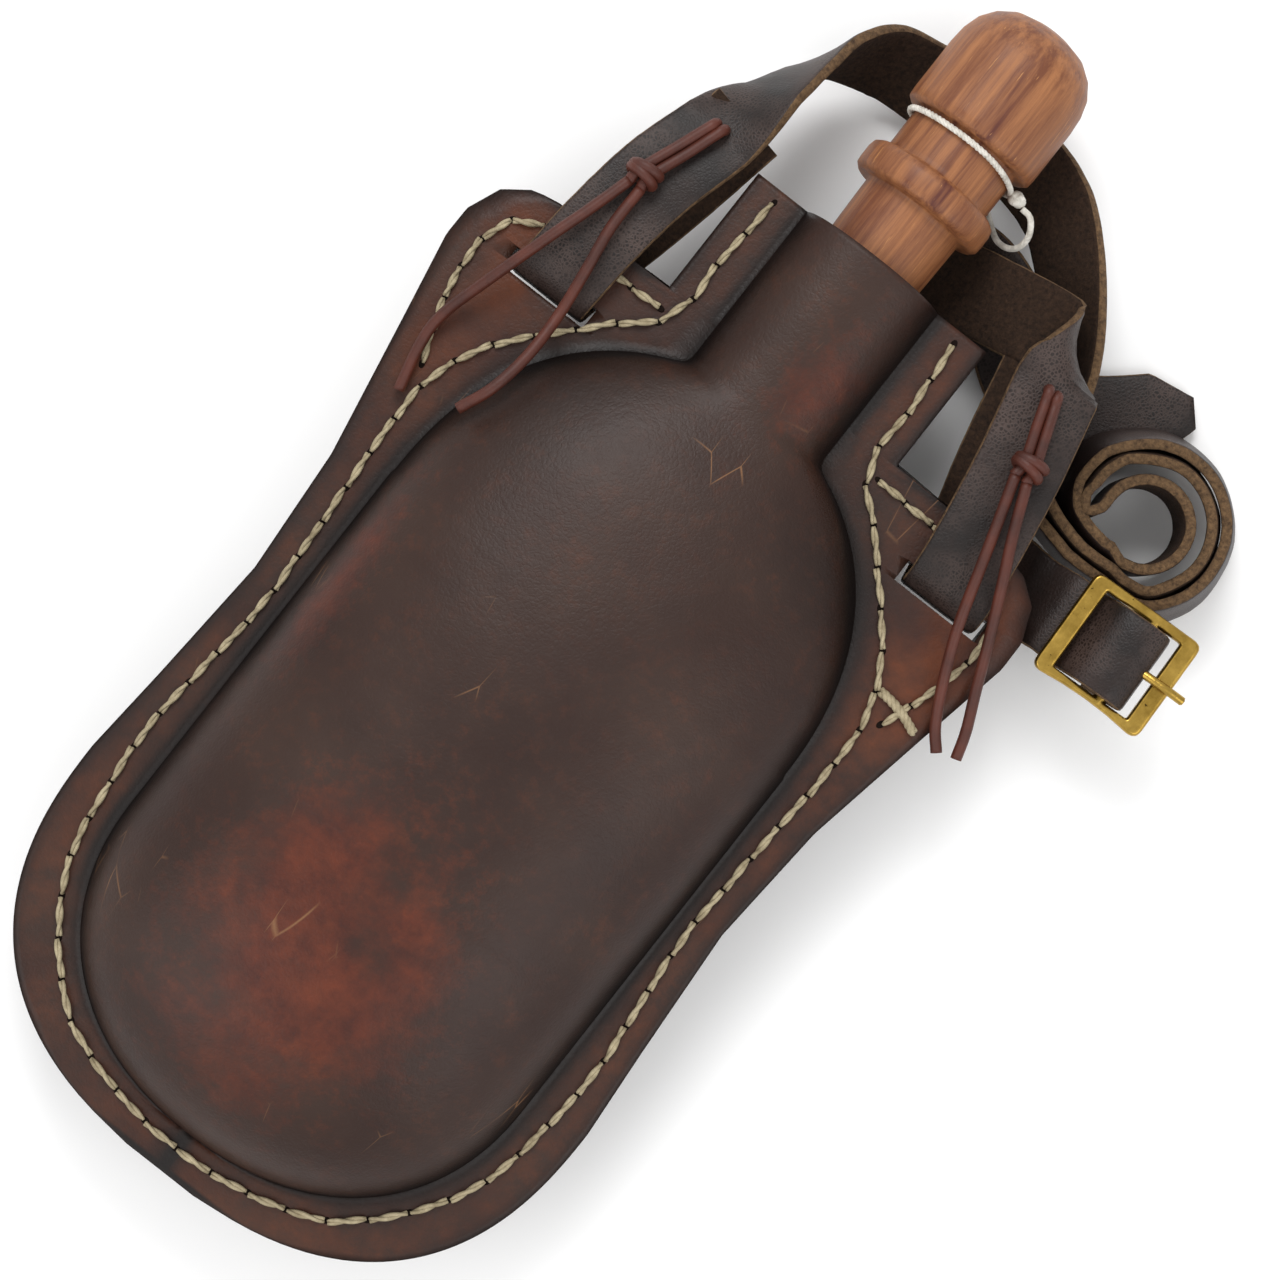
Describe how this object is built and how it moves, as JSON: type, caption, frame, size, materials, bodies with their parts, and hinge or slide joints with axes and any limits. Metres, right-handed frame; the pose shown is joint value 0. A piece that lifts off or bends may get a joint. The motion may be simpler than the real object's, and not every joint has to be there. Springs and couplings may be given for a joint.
{
  "type": "leather canteen",
  "caption": "Flat-lying stitched leather bottle with a wooden stopper, laced side straps and a buckled sling rolled beside the neck.",
  "frame": {"origin": "middle of the flat back rest face, under the belly of the bottle", "axes": "+Y along the bottle axis towards the mouth, +Z out of the front face, +X to the wearer's left"},
  "size_m": [0.1852, 0.3075, 0.0601],
  "materials": {
    "body_leather": "dark waxed leather, worn red-brown on the belly",
    "strap_leather": "near-black pebbled strap leather with tan cut edges",
    "thong": "smooth red-brown round lace",
    "thread": "waxed two-ply thread",
    "string": "off-white twisted string",
    "wood": "turned hardwood, oiled",
    "brass": "aged polished brass"
  },
  "bodies": {
    "bottle": {"front_shell": "body_leather", "back_shell": "body_leather", "seam_thread_front": "thread", "right_tab_thread_front": "thread", "left_tab_thread_front": "thread", "seam_thread_back": "thread", "right_tab_thread_back": "thread", "left_tab_thread_back": "thread", "strap_left": "strap_leather", "strap_right": "strap_leather", "left_thong_tie": "thong", "right_thong_tie": "thong", "left_thong_tail_a": "thong", "left_thong_tail_b": "thong", "right_thong_tail_a": "thong", "right_thong_tail_b": "thong"},
    "string": {"string_loop": "string", "string_tail": "string", "string_end_knot": "string"},
    "stopper": {"stopper": "wood"},
    "buckle": {"buckle_frame": "brass"},
    "tongue": {"buckle_tongue": "brass"}
  },
  "joints": [
    {"name": "stopper_pull", "type": "slide", "parent": "bottle", "child": "string", "axis": [0, 1, 0], "range_m": [0, 0.06]},
    {"name": "stopper_twist", "type": "hinge", "parent": "string", "child": "stopper", "pos_m": [0, 0.1784, 0.028], "axis": [0, 1, 0], "continuous": true},
    {"name": "buckle_rock", "type": "hinge", "parent": "bottle", "child": "buckle", "pos_m": [0.0952, 0.1139, 0.0282], "axis": [-0.04, 0.9992, 0], "range_deg": [0, 8]},
    {"name": "tongue_swing", "type": "hinge", "parent": "buckle", "child": "tongue", "pos_m": [0.0952, 0.1139, 0.0282], "axis": [0.04, -0.9992, 0], "range_deg": [0, 20]}
  ]
}
